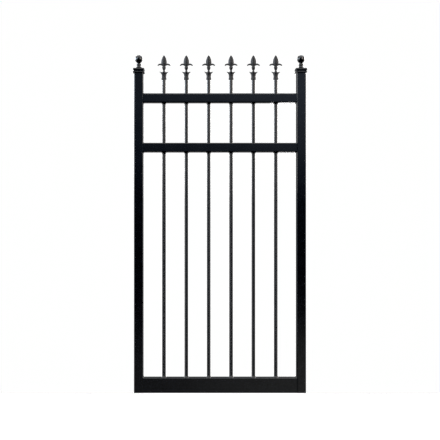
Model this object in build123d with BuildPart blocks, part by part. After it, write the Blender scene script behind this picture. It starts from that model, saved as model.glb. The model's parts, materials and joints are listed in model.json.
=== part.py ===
from build123d import *
import os

# Single-leaf steel garden gate: a welded frame of square tube, six round bars with cast spearheads, two ball
# caps, a pair of lift-off hinges behind the left stile and a slide bolt behind the right end of the mid rail.
# Millimetres, +Z up, +X from the hinge stile to the closing stile, the front of the gate faces -Y.
# The origin is the middle of the lower hinge plate's back face, where it lies on the gate post.

os.makedirs("parts", exist_ok=True)

# ---------------------------------------------------------------- driving dimensions: the frame

LEAF_WIDTH = 915
TUBE = 47
TUBE_WALL = 3
TUBE_CORNER = 4
BOTTOM_RAIL_HEIGHT = 79
STILE_HEIGHT = 1722
MID_RAIL_CENTRE = 1308
TOP_RAIL_CENTRE = 1572

BAR_COUNT = 6
BAR_RADIUS = 7.95
BAR_PITCH = 119.6
BAR_CHAMFER = 1
PUNCH_CLEARANCE = 0.1
WELD_GAP = 0.03
WELD_LEG = 8
COLLAR_RADIUS = 15.2
COLLAR_NECK = 8.8
COLLAR_EDGE = 0.8
WELD_THROAT = 3
PLUG_THICKNESS = 4
PLUG_FILLET = 0.8

# ---------------------------------------------------------------- driving dimensions: castings

# Heights inside a spearhead are above its foot
FINIAL_FOOT = 1671
SOCKET_DEPTH = 30
LIP_RADIUS = 13
LIP_TOP = 7.5
WAIST_RADIUS = 11.2
WAIST_LEVEL = 12
SHOULDER_RADIUS = 12.3
SHOULDER_LEVEL = 29
CROWN_FOOT = 26
CROWN_FLOOR = 39
CROWN_TIP_RADIUS = 24
CROWN_TIP_LEVEL = 42
CROWN_TIP_THICKNESS = 1
CROWN_UNDERSIDE = (15, 36)
CROWN_TOPSIDE = (15, 39.5)
CROWN_THROAT_RADIUS = 9.5
PETAL_WIDTH = 25
SPEAR_NECK_RADIUS = 2.8
SPEAR_NECK_LEVEL = 49
SPEAR_THROAT = (4.6, 42.4)
BULB_UNDERSIDE = (7.2, 57.5)
BULB_RADIUS = 9
BULB_LEVEL = 65
BULB_TOP_RADIUS = 5.5
BULB_TOP = 72
SET_SCREW_RADIUS = 2.5
SET_SCREW_LEVEL = 6
SET_SCREW_LENGTH = 5
SET_SCREW_HEX_RADIUS = 1.3
SET_SCREW_HEX_DEPTH = 2
BARB_THICKNESS = 6.4
# A barb's upper and lower outline: distance from the spear's axis, height
BARB_UPPER = [(6, 86), (16, 86.4), (26, 84.2), (34, 76)]
BARB_LOWER = [(34, 76), (25, 79.6), (16, 79.2), (6, 75)]
# One row for each flat-sided section of the spear blade: height, half width, half thickness
BLADE_SECTIONS = [(70, 5, 4), (79, 10, 6.4), (92, 13.5, 8), (105, 12.2, 7.4), (118, 7.4, 5), (130, 0.6, 0.5)]
BLADE_FLAT = 0.42

CAP_FOOT = 1706
CAP_SQUARE = 59
CAP_GROOVE_SQUARE = 54
CAP_LIP_HEIGHT = 7
CAP_GROOVE_TOP = 14
CAP_SLAB_TOP = 25
CAP_OGEE_SQUARE = 50
CAP_NECK_LEVEL = 37
CAP_NECK_RADIUS = 9
CAP_ROOF_RADIUS = 36
CAP_ROOF_THICKNESS = 2
CAP_ROOF_BEND = (15, 29.2)
CAP_CORNER = 2
CAP_SLAB_FILLET = 3.5
CAP_BEAD_LEVEL = 41
CAP_BEAD_RADIUS = 12.2
CAP_HEIGHT = 49
CAP_FIT = 0.4
BALL_RADIUS = 20
BALL_CENTRE = 26.5
BALL_NECK_RADIUS = 8.7
BALL_NECK_LEVEL = 3
BALL_THROAT = (9.9, 8)
BALL_UNDERSIDE = (12.5, 12.06)
STUD_RADIUS = 4
STUD_FIT = 0.05
STUD_BELOW = 12
STUD_ABOVE = 13

# ---------------------------------------------------------------- driving dimensions: hinges

LOWER_HINGE_LEVEL = 235
UPPER_HINGE_LEVEL = 1445
HINGE_AXIS_X = -9.5
HINGE_AXIS_Y = -26
AXIS_TO_STILE = 12
HINGE_PLATE_WIDTH = 38
HINGE_PLATE_HEIGHT = 120
HINGE_PLATE_THICKNESS = 5
HINGE_PLATE_CORNER = 5
HINGE_HOLE_SPACING_X = 22
HINGE_HOLE_SPACING_Z = 96
HINGE_HOLE_RADIUS = 3.5
HINGE_SINK_RADIUS = 6.8
ARM_HALF_WIDTH = 10
ARM_BOTTOM = -25
ARM_THICKNESS = 12
PIN_RADIUS = 6
PIN_FIT = 0.05
PIN_ABOVE_KNUCKLE = 7
PIN_CHAMFER = 1.5
WASHER_THICKNESS = 2
KNUCKLE_HEIGHT = 50
KNUCKLE_RADIUS = 10
KNUCKLE_PLATE_WIDTH = 38
KNUCKLE_PLATE_THICKNESS = 4

# ---------------------------------------------------------------- driving dimensions: slide bolt

BOLT_PLATE_LENGTH = 140
BOLT_PLATE_HEIGHT = 36
BOLT_PLATE_THICKNESS = 3
BOLT_PLATE_CORNER = 4
BOLT_PLATE_INSET = 7.5
BOLT_RADIUS = 6
BOLT_FIT = 0.05
BOLT_LIFT = 9.5
BOLT_TRAVEL = 35
BOLT_LENGTH = 120
BOLT_NOSE_RADIUS = 5.5
BOLT_NOSE_LENGTH = 11
BOLT_NOSE_CHAMFER = 1
GUIDE_LENGTH = 12
GUIDE_RADIUS = 9.5
GUIDE_FOOT = 2.5
GUIDE_WIDTH = 34
OUTER_GUIDE_INSET = 20.5
MIDDLE_GUIDE_INSET = 65.5
KNOB_CLEARANCE = 1
KNOB_STEM_RADIUS = 3.5
KNOB_BALL_RADIUS = 7
KNOB_TANG_RADIUS = 3
KNOB_TANG_DEPTH = 5
KNOB_TANG_GAP = 0.5
KNOB_SEAT_GAP = 0.2
SCREW_RADIUS = 2
SCREW_SPACING = 26.8
SCREW_HEAD_RADIUS = 3.5
SCREW_HEAD_HEIGHT = 2
SCREW_LENGTH = 12
SCREW_HOLE_RADIUS = 2.1
SCREW_CROSS_LENGTH = 4
SCREW_CROSS_WIDTH = 1
SCREW_CROSS_DEPTH = 1.2

# ---------------------------------------------------------------- positions worked out from them

FOOT_Z = -LOWER_HINGE_LEVEL
PLUG_SQUARE = TUBE - 2 * TUBE_WALL - CAP_FIT
STILE_REAR_Y = HINGE_AXIS_Y - AXIS_TO_STILE
FRAME_Y = STILE_REAR_Y - TUBE / 2
RIGHT_STILE_X = LEAF_WIDTH - TUBE
MIDDLE_X = RIGHT_STILE_X / 2
RAIL_START_X = TUBE / 2
RAIL_LENGTH = LEAF_WIDTH - 2 * TUBE
LEAF_EDGE_X = RIGHT_STILE_X + TUBE / 2
TOP_RAIL_Z = FOOT_Z + TOP_RAIL_CENTRE
MID_RAIL_Z = FOOT_Z + MID_RAIL_CENTRE
BOTTOM_RAIL_Z = FOOT_Z + BOTTOM_RAIL_HEIGHT / 2
BAR_XS = [MIDDLE_X + (i - (BAR_COUNT - 1) / 2) * BAR_PITCH for i in range(BAR_COUNT)]
BOLT_PLATE_Y = STILE_REAR_Y + BOLT_PLATE_THICKNESS
BOLT_Y = BOLT_PLATE_Y + BOLT_LIFT
OUTER_GUIDE_X = LEAF_EDGE_X - OUTER_GUIDE_INSET
MIDDLE_GUIDE_X = LEAF_EDGE_X - MIDDLE_GUIDE_INSET
KNOB_X = MIDDLE_GUIDE_X - GUIDE_LENGTH / 2 - KNOB_CLEARANCE - KNOB_STEM_RADIUS - BOLT_TRAVEL
INNER_GUIDE_X = KNOB_X - KNOB_STEM_RADIUS - KNOB_CLEARANCE - GUIDE_LENGTH / 2
BOLT_END_X = OUTER_GUIDE_X + GUIDE_LENGTH / 2 + BOLT_NOSE_LENGTH
BOTTOM_ALIGN = (Align.CENTER, Align.CENTER, Align.MIN)


def keep(piece, name):
    """Label one finished piece and write it to its own STEP file."""
    piece.part.label = name
    export_step(piece.part, f"parts/{name}.step")


def tube_section(plane, across, height):
    """The hollow section of a rolled square or rectangular tube, on its plane."""
    with BuildSketch(plane) as section:
        RectangleRounded(across, height, TUBE_CORNER)
        RectangleRounded(
            across - 2 * TUBE_WALL, height - 2 * TUBE_WALL, TUBE_CORNER - TUBE_WALL, mode=Mode.SUBTRACT
        )
    return section.sketch


def screw_rows(guide_x):
    """Where the two screws of one bolt guide go through the frame's rear face."""
    return [(guide_x, STILE_REAR_Y, MID_RAIL_Z + side * SCREW_SPACING / 2) for side in (-1, 1)]


# ---------------------------------------------------------------- stiles

for side, stile_x in (("left", 0), ("right", RIGHT_STILE_X)):
    with BuildPart() as stile:
        extrude(tube_section(Plane((stile_x, FRAME_Y, FOOT_Z)), TUBE, TUBE), amount=STILE_HEIGHT)
        if side == "right":
            with Locations(*screw_rows(OUTER_GUIDE_X)):
                Cylinder(SCREW_HOLE_RADIUS, 3 * TUBE_WALL, rotation=(90, 0, 0), mode=Mode.SUBTRACT)
    keep(stile, f"{side}_stile")

    # A square plug closes the foot of the tube against rain
    with BuildPart() as plug:
        with BuildSketch(Plane((stile_x, FRAME_Y, FOOT_Z))):
            RectangleRounded(PLUG_SQUARE, PLUG_SQUARE, TUBE_CORNER - TUBE_WALL)
        extrude(amount=PLUG_THICKNESS)
        fillet(plug.faces().sort_by(Axis.Z)[0].edges(), radius=PLUG_FILLET)
    keep(plug, f"foot_plug_{side}")

# ---------------------------------------------------------------- rails


def rail_plane(level):
    """The plane across a rail's left end: across the rail is +Y, up is +Z."""
    return Plane((RAIL_START_X, FRAME_Y, level), x_dir=(0, 1, 0), z_dir=(1, 0, 0))


for name, level in (("top_rail", TOP_RAIL_Z), ("mid_rail", MID_RAIL_Z)):
    with BuildPart() as rail:
        extrude(tube_section(rail_plane(level), TUBE, TUBE), amount=RAIL_LENGTH)
        # Both walls are punched where the bars pass through
        with Locations(*[(x, FRAME_Y, level) for x in BAR_XS]):
            Cylinder(BAR_RADIUS + PUNCH_CLEARANCE, 2 * TUBE, mode=Mode.SUBTRACT)
        if name == "mid_rail":
            with Locations(*(screw_rows(INNER_GUIDE_X) + screw_rows(MIDDLE_GUIDE_X))):
                Cylinder(SCREW_HOLE_RADIUS, 3 * TUBE_WALL, rotation=(90, 0, 0), mode=Mode.SUBTRACT)
    keep(rail, name)

with BuildPart() as bottom_rail:
    extrude(tube_section(rail_plane(BOTTOM_RAIL_Z), TUBE, BOTTOM_RAIL_HEIGHT), amount=RAIL_LENGTH)
keep(bottom_rail, "bottom_rail")

# ---------------------------------------------------------------- bars and the welds round them

BAR_FOOT_Z = FOOT_Z + BOTTOM_RAIL_HEIGHT
BAR_LENGTH = FINIAL_FOOT + SOCKET_DEPTH - BOTTOM_RAIL_HEIGHT

for number, x in enumerate(BAR_XS, start=1):
    with BuildPart() as bar:
        with BuildSketch(Plane((x, FRAME_Y, BAR_FOOT_Z))):
            Circle(BAR_RADIUS)
        extrude(amount=BAR_LENGTH)
        chamfer(bar.edges().group_by(Axis.Z)[-1], length=BAR_CHAMFER)
    keep(bar, f"bar_{number}")


def weld_collars(name, level, direction):
    """One weld collar per bar: a hollow-flanked ring, widest on the rail and thinning along the bar."""
    inner = BAR_RADIUS + WELD_GAP
    with BuildPart() as collar:
        with BuildSketch(Plane.XZ):
            with BuildLine():
                Line((inner, 0), (COLLAR_RADIUS, 0))
                Line((COLLAR_RADIUS, 0), (COLLAR_RADIUS, direction * COLLAR_EDGE))
                ThreePointArc(
                    (COLLAR_RADIUS, direction * COLLAR_EDGE),
                    (BAR_RADIUS + WELD_THROAT, direction * WELD_THROAT),
                    (COLLAR_NECK, direction * WELD_LEG),
                )
                Line((COLLAR_NECK, direction * WELD_LEG), (inner, direction * WELD_LEG))
                Line((inner, direction * WELD_LEG), (inner, 0))
            make_face()
        revolve(axis=Axis.Z)
    with BuildPart() as collars:
        with Locations(*[(x, FRAME_Y, level) for x in BAR_XS]):
            add(collar.part)
    keep(collars, name)


weld_collars("top_rail_welds", TOP_RAIL_Z - TUBE / 2, -1)
weld_collars("mid_rail_welds", MID_RAIL_Z - TUBE / 2, -1)
weld_collars("bottom_rail_welds", BAR_FOOT_Z, 1)

# ---------------------------------------------------------------- fillet welds in the frame's inner corners


def corner_weld_section(corner_x, inward, edge_z, upward):
    """A hollow fillet between a stile and one edge of a rail, on the plane through the frame's middle."""
    with BuildSketch(Plane.XZ.offset(-FRAME_Y)) as section:
        with BuildLine():
            Line((corner_x, edge_z), (corner_x + inward * WELD_LEG, edge_z))
            ThreePointArc(
                (corner_x + inward * WELD_LEG, edge_z),
                (corner_x + inward * WELD_THROAT, edge_z + upward * WELD_THROAT),
                (corner_x, edge_z + upward * WELD_LEG),
            )
            Line((corner_x, edge_z + upward * WELD_LEG), (corner_x, edge_z))
        make_face()
    return section.sketch


welded_edges = [(BAR_FOOT_Z, 1)]
for level in (MID_RAIL_Z, TOP_RAIL_Z):
    welded_edges += [(level + TUBE / 2, 1), (level - TUBE / 2, -1)]

with BuildPart() as frame_welds:
    for edge_z, upward in welded_edges:
        for corner_x, inward in ((RAIL_START_X, 1), (RAIL_START_X + RAIL_LENGTH, -1)):
            section = corner_weld_section(corner_x, inward, edge_z, upward)
            extrude(section, amount=TUBE / 2 - TUBE_CORNER, both=True)
keep(frame_welds, "frame_welds")

# ---------------------------------------------------------------- cast spearheads

crown_tip_top = CROWN_TIP_LEVEL + CROWN_TIP_THICKNESS

with BuildPart() as spear:
    # Crown: a bell-shaped flare, cut by a four-pointed star that leaves four petals
    with BuildSketch(Plane.XZ):
        with BuildLine():
            Polyline((0, CROWN_FLOOR), (0, CROWN_FOOT), (WAIST_RADIUS, CROWN_FOOT))
            ThreePointArc((WAIST_RADIUS, CROWN_FOOT), CROWN_UNDERSIDE, (CROWN_TIP_RADIUS, CROWN_TIP_LEVEL))
            Line((CROWN_TIP_RADIUS, CROWN_TIP_LEVEL), (CROWN_TIP_RADIUS, crown_tip_top))
            ThreePointArc((CROWN_TIP_RADIUS, crown_tip_top), CROWN_TOPSIDE, (0, CROWN_FLOOR))
        make_face()
    revolve(axis=Axis.Z)
    with BuildSketch(Plane.XY.offset(CROWN_FOOT)):
        with PolarLocations(0, 4):
            Polygon((0, -PETAL_WIDTH / 2), (CROWN_TIP_RADIUS, 0), (0, PETAL_WIDTH / 2), align=None)
    extrude(amount=crown_tip_top + 1 - CROWN_FOOT, mode=Mode.INTERSECT)
    # Socket with a rolled foot, neck and teardrop bulb
    with BuildSketch(Plane.XZ):
        with BuildLine():
            Polyline(
                (0, BULB_TOP),
                (0, 0),
                (LIP_RADIUS - 1, 0),
                (LIP_RADIUS, 1),
                (LIP_RADIUS, LIP_TOP),
                (WAIST_RADIUS, WAIST_LEVEL),
                (SHOULDER_RADIUS, SHOULDER_LEVEL),
                (CROWN_THROAT_RADIUS, CROWN_FLOOR),
            )
            ThreePointArc(
                (CROWN_THROAT_RADIUS, CROWN_FLOOR),
                SPEAR_THROAT,
                (SPEAR_NECK_RADIUS, SPEAR_NECK_LEVEL),
            )
            Spline(
                (SPEAR_NECK_RADIUS, SPEAR_NECK_LEVEL),
                BULB_UNDERSIDE,
                (BULB_RADIUS, BULB_LEVEL),
                (BULB_TOP_RADIUS, BULB_TOP),
            )
            Line((BULB_TOP_RADIUS, BULB_TOP), (0, BULB_TOP))
        make_face()
    revolve(axis=Axis.Z)
    # Blade with a flat down each face
    for height, half_width, half_thick in BLADE_SECTIONS:
        flat = BLADE_FLAT * half_width
        with BuildSketch(Plane.XY.offset(height)):
            Polygon(
                (half_width, 0),
                (flat, half_thick),
                (-flat, half_thick),
                (-half_width, 0),
                (-flat, -half_thick),
                (flat, -half_thick),
                align=None,
            )
    loft(ruled=True)
    # Two barbs that spring from the foot of the blade and curl down
    with BuildSketch(Plane.XZ):
        with BuildLine():
            Spline(*BARB_UPPER)
            Spline(*BARB_LOWER)
            Line(BARB_LOWER[-1], BARB_UPPER[0])
        make_face()
        mirror(about=Plane.YZ)
    extrude(amount=BARB_THICKNESS / 2, both=True)
    # Socket for the bar, and the tapped hole of its set screw at the rear
    Cylinder(BAR_RADIUS + WELD_GAP, SOCKET_DEPTH, align=BOTTOM_ALIGN, mode=Mode.SUBTRACT)
    with Locations((0, BAR_RADIUS + SET_SCREW_LENGTH / 2 + 1, SET_SCREW_LEVEL)):
        Cylinder(SET_SCREW_RADIUS, SET_SCREW_LENGTH + 3, rotation=(90, 0, 0), mode=Mode.SUBTRACT)

for number, x in enumerate(BAR_XS, start=1):
    with BuildPart() as finial:
        with Locations((x, FRAME_Y, FOOT_Z + FINIAL_FOOT)):
            add(spear.part)
    keep(finial, f"finial_{number}")

with BuildPart() as set_screws:
    screw_z = FOOT_Z + FINIAL_FOOT + SET_SCREW_LEVEL
    for x in BAR_XS:
        screw_start = Plane((x, FRAME_Y + BAR_RADIUS, screw_z), z_dir=(0, 1, 0))
        with BuildSketch(screw_start):
            Circle(SET_SCREW_RADIUS - WELD_GAP)
        extrude(amount=SET_SCREW_LENGTH)
        with BuildSketch(screw_start.offset(SET_SCREW_LENGTH)):
            RegularPolygon(SET_SCREW_HEX_RADIUS, 6)
        extrude(amount=-SET_SCREW_HEX_DEPTH, mode=Mode.SUBTRACT)
keep(set_screws, "finial_set_screws")

# ---------------------------------------------------------------- stile caps, balls and their studs

with BuildPart() as cap:
    # Concave roof: a trumpet of revolution trimmed square
    with BuildSketch(Plane.XZ):
        with BuildLine():
            roof_edge = CAP_SLAB_TOP - 1
            roof_foot = roof_edge - CAP_ROOF_THICKNESS
            Polyline((0, roof_foot), (0, CAP_NECK_LEVEL), (CAP_NECK_RADIUS, CAP_NECK_LEVEL))
            ThreePointArc((CAP_NECK_RADIUS, CAP_NECK_LEVEL), CAP_ROOF_BEND, (CAP_ROOF_RADIUS, roof_edge))
            Polyline((CAP_ROOF_RADIUS, roof_edge), (CAP_ROOF_RADIUS, roof_foot), (0, roof_foot))
        make_face()
    revolve(axis=Axis.Z)
    with BuildSketch():
        Rectangle(CAP_OGEE_SQUARE, CAP_OGEE_SQUARE)
    extrude(amount=CAP_HEIGHT, mode=Mode.INTERSECT)
    # Skirt: a rounded lip, a groove and a thicker rounded slab
    with BuildSketch(Plane.XY.offset(CAP_GROOVE_TOP)):
        RectangleRounded(CAP_SQUARE, CAP_SQUARE, CAP_CORNER)
    extrude(amount=CAP_SLAB_TOP - CAP_GROOVE_TOP)
    slab_edges = cap.faces().filter_by(lambda f: abs(f.center().Z - CAP_SLAB_TOP) < 0.01).edges()
    fillet(slab_edges.filter_by(lambda e: abs(e.center().X) > CAP_OGEE_SQUARE / 2
                                or abs(e.center().Y) > CAP_OGEE_SQUARE / 2), radius=CAP_SLAB_FILLET)
    with BuildSketch(Plane.XY.offset(CAP_LIP_HEIGHT)):
        RectangleRounded(CAP_GROOVE_SQUARE, CAP_GROOVE_SQUARE, CAP_CORNER)
    extrude(amount=CAP_GROOVE_TOP - CAP_LIP_HEIGHT)
    with BuildSketch():
        RectangleRounded(CAP_SQUARE, CAP_SQUARE, CAP_CORNER)
    extrude(amount=CAP_LIP_HEIGHT)
    # Neck with its bead
    neck_foot = CAP_NECK_LEVEL - 4
    with BuildSketch(Plane.XZ):
        with BuildLine():
            Polyline((0, neck_foot), (CAP_NECK_RADIUS, neck_foot), (CAP_NECK_RADIUS, CAP_BEAD_LEVEL))
            ThreePointArc(
                (CAP_NECK_RADIUS, CAP_BEAD_LEVEL),
                (CAP_BEAD_RADIUS, (CAP_BEAD_LEVEL + CAP_HEIGHT) / 2),
                (CAP_NECK_RADIUS, CAP_HEIGHT),
            )
            Polyline((CAP_NECK_RADIUS, CAP_HEIGHT), (0, CAP_HEIGHT), (0, neck_foot))
        make_face()
    revolve(axis=Axis.Z)
    # The stile's top goes up inside the skirt, and a stud goes down the neck
    with BuildSketch():
        RectangleRounded(TUBE + CAP_FIT, TUBE + CAP_FIT, TUBE_CORNER)
    extrude(amount=STILE_HEIGHT - CAP_FOOT + 1, mode=Mode.SUBTRACT)
    with Locations((0, 0, CAP_HEIGHT)):
        Cylinder(STUD_RADIUS + STUD_FIT, 2 * STUD_BELOW, mode=Mode.SUBTRACT)

with BuildPart() as ball:
    # A sphere on a hollow-flanked neck
    with BuildSketch(Plane.XZ):
        with BuildLine():
            Polyline((0, BALL_CENTRE), (0, 0), (BALL_NECK_RADIUS, 0), (BALL_NECK_RADIUS, BALL_NECK_LEVEL))
            ThreePointArc((BALL_NECK_RADIUS, BALL_NECK_LEVEL), BALL_THROAT, BALL_UNDERSIDE)
            Line(BALL_UNDERSIDE, (0, BALL_CENTRE))
        make_face()
    revolve(axis=Axis.Z)
    with Locations((0, 0, BALL_CENTRE)):
        Sphere(BALL_RADIUS)
    Cylinder(STUD_RADIUS + STUD_FIT, 2 * (STUD_ABOVE + 1), mode=Mode.SUBTRACT)

for side, stile_x in (("left", 0), ("right", RIGHT_STILE_X)):
    with BuildPart() as post_cap:
        with Locations((stile_x, FRAME_Y, FOOT_Z + CAP_FOOT)):
            add(cap.part)
    keep(post_cap, f"post_cap_{side}")
    with BuildPart() as cap_ball:
        with Locations((stile_x, FRAME_Y, FOOT_Z + CAP_FOOT + CAP_HEIGHT)):
            add(ball.part)
    keep(cap_ball, f"cap_ball_{side}")

with BuildPart() as cap_studs:
    for stile_x in (0, RIGHT_STILE_X):
        with BuildSketch(Plane((stile_x, FRAME_Y, FOOT_Z + CAP_FOOT + CAP_HEIGHT - STUD_BELOW + 0.5))):
            Circle(STUD_RADIUS)
        extrude(amount=STUD_BELOW + STUD_ABOVE)
keep(cap_studs, "cap_studs")

# ---------------------------------------------------------------- lift-off hinges

for name, hinge_z in (("lower", 0), ("upper", UPPER_HINGE_LEVEL - LOWER_HINGE_LEVEL)):
    arm_top = hinge_z + ARM_BOTTOM + ARM_THICKNESS
    knuckle_foot = arm_top + WASHER_THICKNESS

    # Post plate with the arm that carries the pin
    with BuildPart() as hinge_plate:
        with BuildSketch(Plane((0, 0, hinge_z), x_dir=(1, 0, 0), z_dir=(0, -1, 0))):
            RectangleRounded(HINGE_PLATE_WIDTH, HINGE_PLATE_HEIGHT, HINGE_PLATE_CORNER)
        extrude(amount=HINGE_PLATE_THICKNESS)
        plate_front = Plane((0, -HINGE_PLATE_THICKNESS, hinge_z), x_dir=(1, 0, 0), z_dir=(0, -1, 0))
        with Locations(plate_front):
            with GridLocations(HINGE_HOLE_SPACING_X, HINGE_HOLE_SPACING_Z, 2, 2):
                CounterSinkHole(HINGE_HOLE_RADIUS, HINGE_SINK_RADIUS, counter_sink_angle=90)
        with BuildSketch(Plane((HINGE_AXIS_X, 0, hinge_z + ARM_BOTTOM))):
            with Locations((0, (HINGE_AXIS_Y - HINGE_PLATE_THICKNESS) / 2)):
                Rectangle(2 * ARM_HALF_WIDTH, -HINGE_AXIS_Y - HINGE_PLATE_THICKNESS)
            with Locations((0, HINGE_AXIS_Y)):
                Circle(ARM_HALF_WIDTH)
        extrude(amount=ARM_THICKNESS)
        with Locations((HINGE_AXIS_X, HINGE_AXIS_Y, hinge_z + ARM_BOTTOM)):
            Cylinder(PIN_RADIUS + WELD_GAP, 3 * ARM_THICKNESS, mode=Mode.SUBTRACT)
    keep(hinge_plate, f"hinge_plate_{name}")

    with BuildPart() as hinge_pin:
        with BuildSketch(Plane((HINGE_AXIS_X, HINGE_AXIS_Y, hinge_z + ARM_BOTTOM))):
            Circle(PIN_RADIUS)
        extrude(amount=ARM_THICKNESS + WASHER_THICKNESS + KNUCKLE_HEIGHT + PIN_ABOVE_KNUCKLE)
        chamfer(hinge_pin.edges().group_by(Axis.Z)[-1], length=PIN_CHAMFER)
    keep(hinge_pin, f"hinge_pin_{name}")

    with BuildPart() as washer:
        with BuildSketch(Plane((HINGE_AXIS_X, HINGE_AXIS_Y, arm_top))):
            Circle(KNUCKLE_RADIUS)
            Circle(PIN_RADIUS + WELD_GAP, mode=Mode.SUBTRACT)
        extrude(amount=WASHER_THICKNESS)
    keep(washer, f"thrust_washer_{name}")

    # Knuckle: a bored barrel on a plate that is welded to the back of the stile
    with BuildPart() as knuckle:
        with BuildSketch(Plane((0, 0, knuckle_foot))):
            with Locations((0, STILE_REAR_Y + KNUCKLE_PLATE_THICKNESS / 2)):
                Rectangle(KNUCKLE_PLATE_WIDTH, KNUCKLE_PLATE_THICKNESS)
            with Locations((HINGE_AXIS_X, HINGE_AXIS_Y)):
                Circle(KNUCKLE_RADIUS)
                Circle(PIN_RADIUS + PIN_FIT, mode=Mode.SUBTRACT)
        extrude(amount=KNUCKLE_HEIGHT)
    keep(knuckle, f"hinge_knuckle_{name}")

# ---------------------------------------------------------------- slide bolt behind the mid rail

with BuildPart() as bolt_plate:
    plate_x = LEAF_EDGE_X - BOLT_PLATE_INSET - BOLT_PLATE_LENGTH / 2
    with BuildSketch(Plane((plate_x, STILE_REAR_Y, MID_RAIL_Z), x_dir=(-1, 0, 0), z_dir=(0, 1, 0))):
        RectangleRounded(BOLT_PLATE_LENGTH, BOLT_PLATE_HEIGHT, BOLT_PLATE_CORNER)
    extrude(amount=BOLT_PLATE_THICKNESS)
    for guide_x in (INNER_GUIDE_X, MIDDLE_GUIDE_X, OUTER_GUIDE_X):
        with Locations(*screw_rows(guide_x)):
            Cylinder(SCREW_HOLE_RADIUS, 3 * BOLT_PLATE_THICKNESS, rotation=(90, 0, 0), mode=Mode.SUBTRACT)
keep(bolt_plate, "bolt_plate")

for name, guide_x in (("inner", INNER_GUIDE_X), ("middle", MIDDLE_GUIDE_X), ("outer", OUTER_GUIDE_X)):
    with BuildPart() as guide:
        # Seen along the bolt: a flat foot and an arched loop
        with BuildSketch(Plane((guide_x, BOLT_Y, MID_RAIL_Z), x_dir=(0, 1, 0), z_dir=(1, 0, 0))):
            with Locations((GUIDE_FOOT / 2 - BOLT_LIFT, 0)):
                Rectangle(GUIDE_FOOT, GUIDE_WIDTH)
            with Locations((-BOLT_LIFT / 2, 0)):
                Rectangle(BOLT_LIFT, 2 * GUIDE_RADIUS)
            Circle(GUIDE_RADIUS)
            Circle(BOLT_RADIUS + BOLT_FIT, mode=Mode.SUBTRACT)
        extrude(amount=GUIDE_LENGTH / 2, both=True)
        with Locations(*screw_rows(guide_x)):
            Cylinder(SCREW_HOLE_RADIUS, 4 * BOLT_PLATE_THICKNESS, rotation=(90, 0, 0), mode=Mode.SUBTRACT)
    keep(guide, f"bolt_guide_{name}")

with BuildPart() as bolt:
    bolt_end = Plane((BOLT_END_X, BOLT_Y, MID_RAIL_Z), x_dir=(0, 1, 0), z_dir=(-1, 0, 0))
    with BuildSketch(bolt_end):
        Circle(BOLT_NOSE_RADIUS)
    extrude(amount=BOLT_NOSE_LENGTH)
    chamfer(bolt.edges().group_by(Axis.X)[-1], length=BOLT_NOSE_CHAMFER)
    with BuildSketch(bolt_end.offset(BOLT_NOSE_LENGTH)):
        Circle(BOLT_RADIUS)
    extrude(amount=BOLT_LENGTH - BOLT_NOSE_LENGTH)
    with Locations((KNOB_X, BOLT_Y + BOLT_RADIUS, MID_RAIL_Z)):
        Cylinder(KNOB_TANG_RADIUS + WELD_GAP, 2 * KNOB_TANG_DEPTH, rotation=(90, 0, 0), mode=Mode.SUBTRACT)
keep(bolt, "slide_bolt")

with BuildPart() as knob:
    # Half profile from the tang in the bolt out to the ball
    tang_foot = BOLT_RADIUS - KNOB_TANG_DEPTH + KNOB_TANG_GAP
    stem_foot = BOLT_RADIUS + KNOB_SEAT_GAP
    ball_centre = -BOLT_Y - KNOB_BALL_RADIUS
    with BuildSketch(Plane((KNOB_X, BOLT_Y, MID_RAIL_Z))):
        with BuildLine():
            Polyline(
                (0, ball_centre),
                (0, tang_foot),
                (KNOB_TANG_RADIUS, tang_foot),
                (KNOB_TANG_RADIUS, stem_foot),
                (KNOB_STEM_RADIUS, stem_foot),
                (KNOB_STEM_RADIUS, ball_centre),
                (0, ball_centre),
            )
        make_face()
    revolve(axis=Axis((KNOB_X, BOLT_Y, MID_RAIL_Z), (0, 1, 0)))
    with Locations((KNOB_X, -KNOB_BALL_RADIUS, MID_RAIL_Z)):
        Sphere(KNOB_BALL_RADIUS)
keep(knob, "bolt_knob")

with BuildPart() as bolt_screws:
    for guide_x in (INNER_GUIDE_X, MIDDLE_GUIDE_X, OUTER_GUIDE_X):
        for _, _, screw_z in screw_rows(guide_x):
            head = Plane((guide_x, BOLT_PLATE_Y + GUIDE_FOOT, screw_z), z_dir=(0, 1, 0))
            with BuildSketch(head):
                Circle(SCREW_HEAD_RADIUS)
            extrude(amount=SCREW_HEAD_HEIGHT)
            with BuildSketch(head):
                Circle(SCREW_RADIUS)
            extrude(amount=-SCREW_LENGTH)
            with BuildSketch(head.offset(SCREW_HEAD_HEIGHT)):
                Rectangle(SCREW_CROSS_LENGTH, SCREW_CROSS_WIDTH)
                Rectangle(SCREW_CROSS_WIDTH, SCREW_CROSS_LENGTH)
            extrude(amount=-SCREW_CROSS_DEPTH, mode=Mode.SUBTRACT)
keep(bolt_screws, "bolt_screws")
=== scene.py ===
# %% [markdown]
# # A steel garden gate with spearheads
#
# This lesson dresses a garden gate whose engineering is already settled. The frame file holds every tube,
# bar, casting, hinge and screw at its real size and place, and knows how the leaf swings and how the bolt
# slides. Blender's part is the looks: finer meshes where a plain solid would look like a drawing, and
# finishes that look like powder-coated steel. Nothing that the frame file holds is moved, so the first
# step is to load it.

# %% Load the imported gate
import math

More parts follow.
